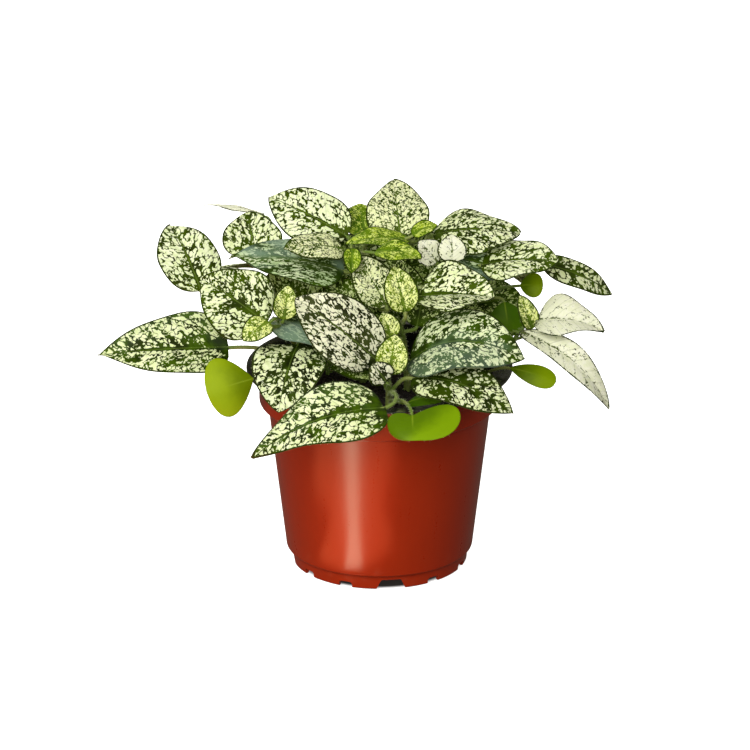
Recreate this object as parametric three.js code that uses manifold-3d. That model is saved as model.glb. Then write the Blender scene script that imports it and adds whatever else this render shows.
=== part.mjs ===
import * as THREE from 'three';
import { mergeVertices } from 'three/addons/utils/BufferGeometryUtils.js';
import Module from 'manifold-3d';

// A young polka dot plant in its nursery pots. Ten leafy stems stand in the soil of a black
// liner pot, which hangs by its rim in a red outer pot.
// Millimetres, +Z up. The origin is the middle of the outer pot's flat underside.

const wasm = await Module();
wasm.setup();

// Driving dimensions
const GAP = 0.3; // between pieces that rest on each other
const POT_SIDES = 32;
const OUTER = {
  height: 85.6, wall: 1.4,
  rimRadius: 52.5, rimHeight: 12.1, shoulderRadius: 48.6,
  heelRadius: 40.8, heelHeight: 6.7, footTopRadius: 39, footRadius: 38.4, footWall: 1.8,
  middleRadius: 26, middleFloor: 1.8, channelHeight: 4.9, channelFloor: 1.6,
};
const NOTCHES = {
  count: 12, phase: 7.5, bigEvery: 3,
  big: { height: 4.6, foot: 13, top: 8 },
  small: { height: 2.7, foot: 5.4, top: 4.6 },
};
const DRAINS = { count: 4, radius: 3.2, ring: 31.4, sides: 8 };
const LINER = {
  bottom: 8, wall: 1.3, footRadius: 38.6, shoulderRadius: 46.4, shoulderHeight: 73.2,
  bandRadius: 50.5, bandHeight: 76.4, seatRadius: 53.2, stepHeight: 2.4,
  flangeRadius: 57.75, flangeThickness: 1.2,
};
const SOIL = { top: 79.4, edgeTop: 78.2, roughness: 0.7 };
const STEM = { rootDepth: 16, radius: 1.7, tipRadius: 1.2, sides: 6, steps: 4, holeSides: 8, clearance: 0.5 };
const PETIOLE = { radius: 0.95, sides: 3, steps: 2, reach: 0.1, arch: [0.3, 0.35], seedArch: [0.15, 0.2] };
const BLADE = {
  thickness: 0.8, curl: 0.16, wave: 0.035, waves: 1.6, narrow: 0.35,
  // rows and columns of the blades that are narrower than each width
  grids: [[18.5, [4, 2]], [22.5, [4, 4]], [32.5, [5, 4]], [Infinity, [6, 4]]],
};

// How a blade widens from its stalk and narrows to its tip: the higher, the more pointed that end.
// Two more figures give a blade lobes beside its stalk: how far they reach back, and how much the one
// on the right outgrows the one on the left
const OUTLINE = { oval: [0.5, 0.76], seed: [0.62, 0.42] };

const COLOURS = {
  outer: { color: 0xb03a24, roughness: 0.3, metalness: 0 },
  liner: { color: 0x17181a, roughness: 0.35, metalness: 0 },
  soil: { color: 0x2b2019, roughness: 0.95, metalness: 0 },
  foliage: { color: 0x8fa35e, roughness: 0.5, metalness: 0 },
};

const radians = THREE.MathUtils.degToRad;
const soilTop = SOIL.top;
const rimTop = OUTER.height + GAP + LINER.stepHeight + LINER.flangeThickness;

// ---- closed meshes and solids ----

// A closed mesh as a solid that can be joined and cut
function solid(geometry) {
  const bare = geometry.clone();
  bare.deleteAttribute('normal');
  bare.deleteAttribute('uv');
  const merged = mergeVertices(bare, 1e-4);
  const corners = [];
  const index = merged.index.array;
  for (let i = 0; i < index.length; i += 3) {
    const [a, b, c] = [index[i], index[i + 1], index[i + 2]];
    if (a !== b && b !== c && c !== a) corners.push(a, b, c);
  }
  return new wasm.Manifold(new wasm.Mesh({
    numProp: 3,
    vertProperties: new Float32Array(merged.attributes.position.array),
    triVerts: new Uint32Array(corners),
  }));
}

function toGeometry(body) {
  const mesh = body.getMesh();
  const geometry = new THREE.BufferGeometry();
  geometry.setAttribute('position', new THREE.BufferAttribute(new Float32Array(mesh.vertProperties), 3));
  geometry.setIndex(new THREE.BufferAttribute(new Uint32Array(mesh.triVerts), 1));
  geometry.computeVertexNormals();
  return geometry;
}

function fromTriangles(points, corners) {
  const geometry = new THREE.BufferGeometry();
  geometry.setAttribute('position', new THREE.Float32BufferAttribute(points.flatMap((p) => p.toArray()), 3));
  geometry.setIndex(corners);
  return geometry;
}

// A turned body about the Z axis from a profile of [radius, height] points
function turned(profile) {
  const points = profile.map(([radius, height]) => new THREE.Vector2(radius, height));
  return new THREE.LatheGeometry(points, POT_SIDES).rotateX(Math.PI / 2);
}

// A round tube through a list of points, thinning from one radius to the other
function taperedTube(path, startRadius, endRadius, sides) {
  const last = path.length - 1;
  const points = [];
  const corners = [];
  let across = null;
  for (let i = 0; i <= last; i += 1) {
    const along = path[Math.min(i + 1, last)].clone().sub(path[Math.max(i - 1, 0)]).normalize();
    across ??= Math.abs(along.z) < 0.9 ? new THREE.Vector3(0, 0, 1) : new THREE.Vector3(1, 0, 0);
    across = across.clone().addScaledVector(along, -across.dot(along)).normalize();
    const third = new THREE.Vector3().crossVectors(along, across);
    const radius = THREE.MathUtils.lerp(startRadius, endRadius, i / last);
    for (let k = 0; k < sides; k += 1) {
      const angle = (2 * Math.PI * k) / sides;
      points.push(path[i].clone()
        .addScaledVector(across, radius * Math.cos(angle))
        .addScaledVector(third, radius * Math.sin(angle)));
    }
  }
  for (let i = 0; i < last; i += 1) {
    for (let k = 0; k < sides; k += 1) {
      const [a, b] = [i * sides + k, i * sides + ((k + 1) % sides)];
      corners.push(a, b, b + sides, a, b + sides, a + sides);
    }
  }
  for (let k = 1; k < sides - 1; k += 1) {
    const far = last * sides;
    corners.push(0, k + 1, k, far, far + k, far + k + 1);
  }
  return fromTriangles(points, corners);
}

// ---- the pots ----

function outerPot() {
  const { height, wall, rimRadius, shoulderRadius, heelRadius, heelHeight, footRadius } = OUTER;
  const shoulder = height - OUTER.rimHeight;
  const channelTop = OUTER.channelHeight + OUTER.channelFloor;
  const footInner = footRadius - OUTER.footWall;
  const pot = solid(turned([
    [0, 0], [OUTER.middleRadius, 0], [OUTER.middleRadius + 0.8, OUTER.channelHeight],
    [footInner - 0.4, OUTER.channelHeight], [footInner, 0], [footRadius, 0],
    [OUTER.footTopRadius, heelHeight], [heelRadius, heelHeight],
    [shoulderRadius, shoulder], [rimRadius, shoulder + 0.6],
    [rimRadius, height - 0.5], [rimRadius - 0.4, height], [rimRadius - wall, height],
    [rimRadius - wall, shoulder + 1.6], [shoulderRadius - wall, shoulder + 0.2],
    [heelRadius - wall, channelTop + 0.8], [heelRadius - wall - 1, channelTop],
    [OUTER.middleRadius - 0.8, channelTop], [OUTER.middleRadius - 1.8, OUTER.middleFloor],
    [0, OUTER.middleFloor],
  ]));
  let cutters = [];
  for (let i = 0; i < NOTCHES.count; i += 1) {
    const size = i % NOTCHES.bigEvery === 0 ? NOTCHES.big : NOTCHES.small;
    const outline = new THREE.Shape([
      new THREE.Vector2(-size.foot / 2, -1), new THREE.Vector2(size.foot / 2, -1),
      new THREE.Vector2(size.top / 2, size.height), new THREE.Vector2(-size.top / 2, size.height),
    ]);
    const notch = new THREE.ExtrudeGeometry(outline, { depth: 10, bevelEnabled: false })
      .rotateX(Math.PI / 2)
      .translate(0, -footInner + 3, 0)
      .rotateZ(radians(NOTCHES.phase + (360 * i) / NOTCHES.count));
    cutters.push(solid(notch));
  }
  cutters = cutters.concat(drainCutters(OUTER.channelHeight, 45));
  return cutters.reduce((body, cutter) => body.subtract(cutter), pot);
}

function drainCutters(height, phase) {
  return Array.from({ length: DRAINS.count }, (_, i) => solid(
    new THREE.CylinderGeometry(DRAINS.radius, DRAINS.radius, 8, DRAINS.sides)
      .rotateX(Math.PI / 2)
      .translate(0, -DRAINS.ring, height + 1)
      .rotateZ(radians(phase + (360 * i) / DRAINS.count)),
  ));
}

// The liner's inside wall as [radius, height] points from the floor up, moved in by an offset
function linerInside(offset) {
  const { wall, bottom } = LINER;
  const seat = OUTER.height + GAP;
  return [
    [LINER.footRadius - wall - offset, bottom + wall + offset],
    [LINER.shoulderRadius - wall - offset, LINER.shoulderHeight + 0.4],
    [LINER.bandRadius - wall - offset, LINER.bandHeight + 0.7],
    [LINER.bandRadius - wall - offset, seat + wall],
  ];
}

function linerPot() {
  const seat = OUTER.height + GAP;
  const flangeBottom = rimTop - LINER.flangeThickness;
  const pot = solid(turned([
    [0, LINER.bottom], [LINER.footRadius, LINER.bottom],
    [LINER.shoulderRadius, LINER.shoulderHeight], [LINER.bandRadius, LINER.bandHeight],
    [LINER.bandRadius, seat], [LINER.seatRadius, seat], [LINER.seatRadius + 0.2, flangeBottom],
    [LINER.flangeRadius, flangeBottom], [LINER.flangeRadius, rimTop - 0.3],
    [LINER.flangeRadius - 0.3, rimTop], [LINER.seatRadius - 1, rimTop],
    [LINER.seatRadius - LINER.wall, seat + LINER.wall],
    ...linerInside(0).reverse(),
    [0, LINER.bottom + LINER.wall],
  ]));
  return drainCutters(LINER.bottom, 0).reduce((body, cutter) => body.subtract(cutter), pot);
}

// The soil fills the liner and has a hole for each stem
function soilBody(stems) {
  const [foot, shoulder, band] = linerInside(GAP);
  const edge = [band[0] - 0.1, SOIL.edgeTop];
  const rings = [0.8, 0.45].map((share) => [edge[0] * share, SOIL.top]);
  const wall = [[0, foot[1]], foot, shoulder, [band[0], band[1] + 0.3]];
  const body = turned([...wall, edge, ...rings, [0, SOIL.top]]);
  const place = body.attributes.position;
  for (let i = 0; i < place.count; i += 1) {
    const [x, y, z] = [place.getX(i), place.getY(i), place.getZ(i)];
    if (z < SOIL.top - 0.01) continue;
    const lumps = Math.sin(0.21 * x + 0.9) * Math.cos(0.17 * y - 0.5) + 0.5 * Math.sin(0.33 * y + 0.14 * x);
    place.setZ(i, z + SOIL.roughness * lumps);
  }
  return stems.reduce((soil, { foot: [x, y] }) => {
    const radius = STEM.radius + STEM.clearance;
    const floor = soilTop - STEM.rootDepth - GAP;
    const hole = new THREE.CylinderGeometry(radius, radius, 40, STEM.holeSides).rotateX(Math.PI / 2);
    return soil.subtract(solid(hole.translate(x, y, floor + 20)));
  }, solid(body));
}

// ---- leaves and stems ----

// A leaf: where its blade starts and ends, its flat width, where its upper face looks, how far the
// midrib bows up as a share of its length, the degrees by which each half folds up, and its outline
function leaf(from, to, width, face, bow, fold, outline = OUTLINE.oval) {
  const start = new THREE.Vector3(...from);
  const along = new THREE.Vector3(...to).sub(start);
  const length = along.length();
  along.normalize();
  const up = new THREE.Vector3(...face);
  up.addScaledVector(along, -up.dot(along)).normalize();
  const side = new THREE.Vector3().crossVectors(along, up);
  return { start, along, up, side, length, width, bow, fold: radians(fold), outline, seed: false };
}

// A seed leaf is a round blade that narrows to its stalk, with smooth edges and hardly a fold
const seedLeaf = (from, to, width, face, outline = OUTLINE.seed) => (
  { ...leaf(from, to, width, face, 0.08, -4, outline), seed: true }
);

// How wide the blade is at a share t of its length, from 0 to 1
function widthAt(t, [rise, fall]) {
  const widest = rise / (rise + fall);
  return (t / widest) ** rise * ((1 - t) / (1 - widest)) ** fall;
}

// A point of the blade's upper face: t runs from stalk to tip and u from edge to edge
function bladePoint(blade, t, u) {
  const { start, along, up, side, length, width, bow, fold, outline, seed } = blade;
  const [, , lobe = 0, lean = 0] = outline;
  const slope = 4 * bow * (1 - 2 * t);
  const spread = widthAt(t, outline);
  const half = Math.max((width / 2) * spread, BLADE.narrow);
  const back = lobe * (u * u - lean * u) * (1 - t) * spread;
  const normal = up.clone().addScaledVector(along, -slope).normalize();
  const ripple = Math.sin(2 * Math.PI * BLADE.waves * t + start.x + (u > 0 ? 2 : 0));
  const lift = Math.abs(u) * half * Math.sin(fold)
    - BLADE.curl * half * u * u
    + (seed ? 0 : BLADE.wave * width * ripple * u * u);
  return start.clone()
    .addScaledVector(along, length * (t - back))
    .addScaledVector(up, 4 * bow * length * t * (1 - t))
    .addScaledVector(side, half * (u - lean * u * u) * Math.cos(fold))
    .addScaledVector(normal, lift);
}

// Where row i of a blade lies along it: a little closer together towards both ends
const rowPlace = (i, rows) => (i / rows + (1 - Math.cos((Math.PI * i) / rows)) / 2) / 2;

// The blade as a thin closed sheet, split into triangles alike on both faces
function bladeGeometry(blade) {
  const [rows, columns] = BLADE.grids.find(([width]) => blade.width < width)[1];
  const points = [];
  const corners = [];
  const across = columns + 1;
  const count = (rows + 1) * across;
  for (let i = 0; i <= rows; i += 1) {
    for (let j = 0; j <= columns; j += 1) {
      points.push(bladePoint(blade, rowPlace(i, rows), -1 + (2 * j) / columns));
    }
  }
  for (let i = 0; i <= rows; i += 1) {
    const slope = 4 * blade.bow * (1 - 2 * rowPlace(i, rows));
    const down = blade.up.clone().addScaledVector(blade.along, -slope).setLength(-BLADE.thickness);
    for (let j = 0; j <= columns; j += 1) points.push(points[i * across + j].clone().add(down));
  }
  const quad = (a, b, c, d) => corners.push(a, b, c, a, c, d);
  for (let i = 0; i < rows; i += 1) {
    for (let j = 0; j < columns; j += 1) {
      const a = i * across + j;
      const [b, c, d] = [a + 1, a + 1 + across, a + across];
      corners.push(a, b, c, a, c, d);
      corners.push(count + a, count + c, count + b, count + a, count + d, count + c);
    }
    const [left, right] = [i * across, i * across + columns];
    quad(left, left + across, count + left + across, count + left);
    quad(right + across, right, count + right, count + right + across);
  }
  for (let j = 0; j < columns; j += 1) {
    const far = rows * across + j;
    quad(j + 1, j, count + j, count + j + 1);
    quad(far, far + 1, count + far + 1, count + far);
  }
  return fromTriangles(points, corners);
}

// The stem's middle line: straight up out of its hole, then a bend over to its top
function stemPoint(stem, share) {
  const foot = new THREE.Vector3(...stem.foot, soilTop + 1.5);
  const top = new THREE.Vector3(...stem.top);
  const bend = foot.clone().setZ(THREE.MathUtils.lerp(foot.z, top.z, 0.5));
  return new THREE.QuadraticBezierCurve3(foot, bend, top).getPoint(share);
}

function stemGeometry(stem) {
  const path = [new THREE.Vector3(...stem.foot, soilTop - STEM.rootDepth)];
  for (let i = 0; i <= STEM.steps; i += 1) path.push(stemPoint(stem, i / STEM.steps));
  return taperedTube(path, STEM.radius, STEM.tipRadius, STEM.sides);
}

// The stalk leaves the stem upwards and runs on under the start of the blade
function petioleGeometry(stem, share, blade) {
  const from = stemPoint(stem, share);
  const under = bladePoint(blade, PETIOLE.reach, 0).addScaledVector(blade.up, -BLADE.thickness);
  const neck = blade.start.clone().addScaledVector(blade.up, -BLADE.thickness);
  const span = from.distanceTo(neck);
  const out = neck.clone().sub(from).setZ(0).normalize();
  const [rise, run] = blade.seed ? PETIOLE.seedArch : PETIOLE.arch;
  const lead = from.clone().addScaledVector(out, 0.25 * span);
  lead.z += rise * span;
  const entry = neck.clone().addScaledVector(blade.along, -run * span);
  const path = new THREE.CubicBezierCurve3(from, lead, entry, neck).getPoints(PETIOLE.steps);
  return taperedTube([...path, under], PETIOLE.radius, 0.8 * PETIOLE.radius, PETIOLE.sides);
}

function leafyStem(stem) {
  const pieces = stem.leaves.flatMap(([share, blade]) => [
    solid(bladeGeometry(blade)),
    solid(petioleGeometry(stem, share, blade)),
  ]);
  return pieces.reduce((body, piece) => body.add(piece), solid(stemGeometry(stem)));
}

// Each stem's foot in the soil, its top, and its leaves with the share of the stem where each stalk leaves it
const stems = [
  {
    name: 'leafy_stem_front', foot: [4, -24], top: [4, -27, 92],
    leaves: [
      [0.05, seedLeaf([13.7, -64, 91], [14, -74.5, 83.6], 31, [0, -6, 8], [0.4, 0.42, 0.8, 0.32])],
      [0.05, seedLeaf([12, -31, 84], [27, -36, 88], 15, [0, -3, 9])],
      [0.2, leaf([2, -55, 91], [-54, -63, 71], 33, [-1, -5, 8], 0.15, 12, [0.36, 1])],
      [0.4, leaf([14, -30, 95], [57, -49, 86], 26, [1, -5, 8], 0.15, 10)],
      [0.5, leaf([-1, -28, 102], [-36, -24, 129], 31, [1, -8, 5], 0.1, 18)],
      [0.6, leaf([-1, -24, 94], [-22, -29, 99], 13, [0, -4, 9], 0.08, 6)],
      [1, leaf([4, -32, 97], [7, -28, 114], 15, [0, -9, 4], 0.05, 14)],
      [0.9, leaf([3, -36, 95], [-3, -36, 104], 12, [1, -8, 4], 0.05, 10)],
    ],
  },
  {
    name: 'leafy_stem_left', foot: [-31, -6], top: [-43, -15, 114],
    leaves: [
      [0.1, seedLeaf([-54, -26, 93], [-74, -31, 88.5], 26, [-2, -9, 3], [0.85, 0.45])],
      [0.25, leaf([-65, -6, 100], [-121, -16, 100], 34, [0, -6, 7], 0.03, 24, [0.46, 1])],
      [0.45, leaf([-35, -19, 106], [-43, -51, 87], 33, [0, -3, 9], 0.12, 14)],
      [0.75, leaf([-45, -7, 114], [-15, -30, 107], 26, [1, -3, 9], 0.08, 10)],
      [0.9, leaf([-48, -23, 117], [-76, -14, 134], 34, [1, -7, 6], 0.06, 8)],
      [1, leaf([-47, -26, 119], [-58, -34, 113], 13, [-1, -6, 7], 0.08, 15)],
      [1, leaf([-41, -21, 118], [-39, -16, 132], 12, [1, -8, 4], 0.06, 18)],
    ],
  },
  {
    name: 'leafy_stem_left_back', foot: [-22, 16], top: [-47, 13, 132],
    leaves: [
      [0.7, leaf([-77, 2, 123], [-91, 28, 144], 28, [2, -7, 6], 0.08, 12)],
      [0.95, leaf([-54, 6, 136], [-57, 19, 153], 27, [1, -7, 6], 0.06, 14)],
      [1, leaf([-50, 24, 150], [-77, 38, 150], 11, [0, 2, 9], 0.05, 2)],
      [0.8, leaf([-38, 8, 113], [-37, 10, 134], 28, [0, -8, 5], 0.06, 8)],
      [0.5, leaf([-40, 22, 113], [-74, 36, 121], 28, [-3, 4, 8], 0.1, 8)],
    ],
  },
  {
    name: 'leafy_stem_middle', foot: [-7, 6], top: [-11, 4, 136],
    leaves: [
      [0.6, leaf([3, -12, 121], [-10, -4, 141], 20, [2, -8, 5], 0.05, 14)],
      [0.5, leaf([-3, -7, 112], [-23, -2, 128], 22, [0, -7, 7], 0.08, 8)],
      [0.85, leaf([-15, -3, 134], [-64, 1, 139], 30, [0, -4, 9], 0.07, 9, [0.5, 1.1])],
      [0.95, leaf([-15, -4, 144], [-41, -12, 147], 20, [0, -3, 9], 0.08, 6)],
      [1, leaf([-14, 13, 144], [-48, 31, 156], 28, [1, -7, 7], 0.05, 8)],
      [0.95, leaf([-6, 18, 142], [-9, 34, 152], 19, [0, -6, 8], 0.05, 10)],
      [1, leaf([-12, -6, 145], [-12, -13, 136], 9, [2, -6, 7], 0.12, 18)],
      [1, leaf([-2, -10, 145], [18, -16, 144], 15, [0, -3, 9], 0.1, 12)],
      [0.7, leaf([-2, 20, 124], [-32, 24, 132], 30, [0, -7, 6], 0.06, 8)],
    ],
  },
  {
    name: 'leafy_stem_centre', foot: [12, -4], top: [9, -12, 112],
    leaves: [
      [0.25, leaf([13, -20, 99], [62, -36, 106], 37, [1, -5, 8], 0.24, 12)],
      [0.9, leaf([5, -22, 110], [1, -20, 121], 12, [1, -8, 5], 0.06, 16)],
      [0.85, leaf([16, -8, 110], [20, -2, 128], 18, [0, -8, 5], 0.06, 8)],
      [1, leaf([11, -20, 121], [6, -14, 140], 16, [1, -8, 5], 0.05, 20)],
      [1, leaf([17, -16, 127], [49, -22, 129], 34, [0, -4, 9], 0.04, 26)],
      [0.6, leaf([8, 0, 112], [6, 4, 138], 26, [0, -8, 5], 0.05, 8)],
    ],
  },
  {
    name: 'leafy_stem_right', foot: [35, -6], top: [57, -4, 101],
    leaves: [
      [0.1, seedLeaf([56, -13, 93], [76, -17, 88], 10, [0, -7, 6], [0.8, 0.42])],
      [0.9, leaf([60, -6, 107], [99, -16, 75], 15, [4, -7, 7], 0.2, 20, [0.6, 0.8])],
      [1, leaf([66, -3, 107], [60, -1, 122], 10, [4, -8, 3], 0.08, 20)],
      [1, leaf([68, -2, 111], [97, -8, 108], 27, [1, -4, 9], 0.12, 18, [0.45, 1.1])],
    ],
  },
  {
    name: 'leafy_stem_right_back', foot: [26, 14], top: [38, 8, 128],
    leaves: [
      [0.4, leaf([24, 3, 108], [46, -3, 113], 24, [0, -4, 9], 0.08, 8)],
      [0.6, seedLeaf([54, 4, 117], [56, -2, 103], 16, [1, -9, 4])],
      [0.7, seedLeaf([61, 14, 121], [71, 12, 122], 11, [1, -8, 5])],
      [0.9, leaf([70, 15, 131], [102, 25, 113], 15, [2, -6, 8], 0.08, 6)],
      [1, leaf([44, 2, 135], [77, -4, 139], 29, [0, -3, 9], 0.05, 11)],
      [1, leaf([31, 6, 137], [58, 4, 129], 18, [1, -6, 8], 0.08, 8)],
      [1, leaf([23, 12, 145], [61, 14, 145], 31, [0, -3, 9], 0.08, 3)],
      [0.5, leaf([42, 16, 112], [62, 16, 114], 22, [0, -7, 6], 0.06, 8)],
      [0.85, leaf([31, -4, 138], [31, 1, 149], 13, [1, -8, 5], 0.06, 10)],
    ],
  },
  {
    name: 'leafy_stem_back', foot: [4, 26], top: [8, 18, 134],
    leaves: [
      [0.1, seedLeaf([6, 60, 92], [8, 76, 85], 28, [0, 6, 8])],
      [0.6, leaf([2, 40, 122], [-8, 84, 106], 32, [0, 4, 8], 0.14, 10)],
      [0.8, leaf([16, 38, 126], [46, 66, 130], 28, [1, 3, 9], 0.1, 10)],
      [1, leaf([9, 12, 143], [6, 42, 160], 28, [0, -6, 8], 0.06, 8, [0.44, 0.78])],
      [0.9, leaf([-6, 24, 134], [16, 28, 144], 24, [0, -5, 8], 0.08, 6)],
      [1, leaf([14, 6, 147], [25, 8, 151], 10, [0, -4, 9], 0.08, 14)],
      [0.96, leaf([13, 8, 144], [-15, 0, 145], 16, [0, -2, 9], 0.08, 12)],
      [1, leaf([25, -1, 137], [17, 1, 146], 14, [0, -5, 8], 0.06, 8)],
      [0.7, leaf([8, 22, 126], [38, 26, 131], 28, [0, -7, 6], 0.06, 8)],
      [0.3, leaf([10, 31, 98], [-18, 40, 103], 24, [0, -6, 8], 0.06, 8)],
    ],
  },
  {
    name: 'leafy_stem_back_left', foot: [-18, 34], top: [-32, 44, 122],
    leaves: [
      [0.1, seedLeaf([-34, 52, 92], [-46, 66, 85], 26, [-3, 5, 8])],
      [0.6, leaf([-44, 48, 116], [-84, 62, 104], 30, [-3, 4, 8], 0.12, 10)],
      [0.8, leaf([-36, 56, 118], [-46, 98, 98], 32, [-1, 5, 8], 0.14, 10)],
      [1, leaf([-28, 48, 130], [-16, 80, 126], 28, [1, 3, 9], 0.1, 10)],
      [1, leaf([-38, 40, 128], [-66, 30, 128], 24, [-1, 1, 9], 0.08, 8)],
      [0.4, leaf([-26, 44, 100], [-50, 53, 102], 26, [-3, 5, 7], 0.08, 8)],
    ],
  },
  {
    name: 'leafy_stem_back_right', foot: [20, 32], top: [34, 46, 120],
    leaves: [
      [0.1, seedLeaf([34, 54, 92], [46, 68, 85], 26, [3, 5, 8])],
      [0.6, leaf([44, 56, 114], [66, 92, 94], 30, [2, 5, 8], 0.14, 10)],
      [0.8, leaf([32, 60, 118], [30, 102, 100], 32, [0, 5, 8], 0.14, 10)],
      [1, leaf([48, 46, 122], [82, 52, 112], 24, [2, 2, 9], 0.1, 8)],
      [0.5, leaf([22, 38, 112], [45, 44, 125], 26, [2, 3, 9], 0.08, 8)],
    ],
  },
];

// ---- the plant in its pots ----

const group = new THREE.Group();

function place(name, body, colour) {
  const mesh = new THREE.Mesh(toGeometry(body), new THREE.MeshStandardMaterial(colour));
  mesh.name = name;
  group.add(mesh);
}

place('outer_pot', outerPot(), COLOURS.outer);
place('liner_pot', linerPot(), COLOURS.liner);
place('soil', soilBody(stems), COLOURS.soil);
for (const stem of stems) place(stem.name, leafyStem(stem), COLOURS.foliage);

export default group;
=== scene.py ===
import math
import bmesh
import bpy
import numpy as np
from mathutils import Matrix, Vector


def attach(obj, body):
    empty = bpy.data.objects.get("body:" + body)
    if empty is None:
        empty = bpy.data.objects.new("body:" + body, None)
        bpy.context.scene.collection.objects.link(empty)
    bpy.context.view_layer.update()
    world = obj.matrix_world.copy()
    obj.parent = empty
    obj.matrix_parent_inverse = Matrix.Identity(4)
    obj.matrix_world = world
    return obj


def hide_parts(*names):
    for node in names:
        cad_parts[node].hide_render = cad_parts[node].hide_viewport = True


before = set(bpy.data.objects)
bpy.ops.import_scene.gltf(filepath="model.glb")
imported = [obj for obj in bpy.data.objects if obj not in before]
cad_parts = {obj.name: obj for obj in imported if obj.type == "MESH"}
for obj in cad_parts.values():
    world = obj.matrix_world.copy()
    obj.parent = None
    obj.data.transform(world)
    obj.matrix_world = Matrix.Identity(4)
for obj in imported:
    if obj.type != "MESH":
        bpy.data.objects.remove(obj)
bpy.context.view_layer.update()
mm = 0.001


class Wire:
    # one output socket: maths on it adds Math nodes to the same tree
    def __init__(self, board, socket):
        self.board, self.socket = board, socket

    def maths(self, operation, *terms):
        return self.board.add("ShaderNodeMath", {"operation": operation}, dict(enumerate(terms)))

    def __add__(self, other): return self.maths("ADD", self, other)
    def __sub__(self, other): return self.maths("SUBTRACT", self, other)
    def __rsub__(self, other): return self.maths("SUBTRACT", other, self)
    def __mul__(self, other): return self.maths("MULTIPLY", self, other)
    def __truediv__(self, other): return self.maths("DIVIDE", self, other)
    def __pow__(self, other): return self.maths("POWER", self, other)
    def __abs__(self): return self.maths("ABSOLUTE", self)
    def fraction(self): return self.maths("FRACT", self)
    __radd__, __rmul__ = __add__, __mul__

    def rise(self, low, high):  # 0 below low, 1 above high, smooth between
        return self.board.add("ShaderNodeMapRange", {"interpolation_type": "SMOOTHSTEP", "clamp": True},
                              {"Value": self, "From Min": low, "From Max": high})

    def parts(self):
        split = self.board.add("ShaderNodeSeparateXYZ", {}, {"Vector": self})
        return [Wire(self.board, socket) for socket in split.socket.node.outputs]


class Board:
    # adds nodes to one tree: settings first, then the values or links of the sockets
    def __init__(self, tree):
        self.tree = tree

    def add(self, kind, settings=None, sockets=None, out=0):
        node = self.tree.nodes.new(kind)
        for name, value in (settings or {}).items():
            if name == "stops":
                ramp = node.color_ramp.elements
                while len(ramp) < len(value):
                    ramp.new(0.5)
                for element, (position, colour) in zip(ramp, value):
                    element.position, element.color = position, colour
            else:
                setattr(node, name, value)
        for name, value in (sockets or {}).items():
            self.fill(node.inputs[name], value)
        return Wire(self, node.outputs[out])

    def fill(self, socket, value):
        if isinstance(value, Wire):
            self.tree.links.new(value.socket, socket)
        else:
            socket.default_value = value

    def mix(self, share, first, second):  # two colours
        return self.add("ShaderNodeMix", {"data_type": "RGBA"}, {0: share, 6: first, 7: second}, out=2)

    def vector(self, x, y, z):
        return self.add("ShaderNodeCombineXYZ", {}, {0: x, 1: y, 2: z})

    def vectorMaths(self, operation, sockets):
        return self.add("ShaderNodeVectorMath", {"operation": operation}, sockets)

    def noise(self, place, scale, detail=2.0, rough=0.5):
        sockets = {"Vector": place, "Scale": scale, "Detail": detail, "Roughness": rough}
        return self.add("ShaderNodeTexNoise", {}, sockets)

    def cells(self, place, scale, feature="F1", out=0):
        return self.add("ShaderNodeTexVoronoi", {"feature": feature}, {"Vector": place, "Scale": scale}, out)

    def randomVector(self, low, high, seed):
        sockets = {"Min": low, "Max": high, "Seed": seed}
        return self.add("FunctionNodeRandomValue", {"data_type": "FLOAT_VECTOR"}, sockets)

    def noted(self, label):  # a number noted at the points of a mesh
        return self.add("GeometryNodeInputNamedAttribute", {"data_type": "FLOAT"}, {"Name": label})

    def attribute(self, label):  # the same in a material, as a list of three
        return self.add("ShaderNodeAttribute", {"attribute_name": label}, out="Vector").parts()

    def here(self):  # a point on the piece, in metres
        return self.add("ShaderNodeTexCoord", out="Object")

    def bump(self, height, strength, distance):
        return self.add("ShaderNodeBump", {}, {"Height": height, "Strength": strength, "Distance": distance})


def paint(name, fixed, driven):
    # a Principled material: fixed values on its own sockets, driven ones from the function's wires
    material = bpy.data.materials.new(name)
    material.use_nodes = True
    shader = material.node_tree.nodes["Principled BSDF"]
    board = Board(material.node_tree)
    for socket, value in {**fixed, **driven(board)}.items():
        board.fill(shader.inputs[socket], value)
    return material


def tint(*screen):  # a screen colour, 0 to 255, as a linear one
    shares = [c / 255 for c in screen]
    return (*[c / 12.92 if c <= 0.04045 else ((c + 0.055) / 1.055) ** 2.4 for c in shares], 1.0)


def newTree(name, *numbers):
    # a tree that takes a mesh, a material and the given numbers
    tree = bpy.data.node_groups.new(name, "GeometryNodeTree")
    kinds = {"Geometry": "Geometry", "Material": "Material", "Seed": "Int", "Sides": "Int"}
    for label in ("Geometry", *numbers, "Material"):
        kind = "NodeSocket" + kinds.get(label, "Float")
        tree.interface.new_socket(label, in_out="INPUT", socket_type=kind)
    tree.interface.new_socket("Geometry", in_out="OUTPUT", socket_type="NodeSocketGeometry")
    board = Board(tree)
    source = tree.nodes.new("NodeGroupInput")
    return board, {socket.name: Wire(board, socket) for socket in source.outputs if socket.name}


def endTree(board, inlet, geometry):
    real = board.add("GeometryNodeRealizeInstances", {}, {"Geometry": geometry})
    painted = board.add("GeometryNodeSetMaterial", {}, {"Geometry": real, "Material": inlet["Material"]})
    board.fill(board.tree.nodes.new("NodeGroupOutput").inputs["Geometry"], painted)
    return board.tree


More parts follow.
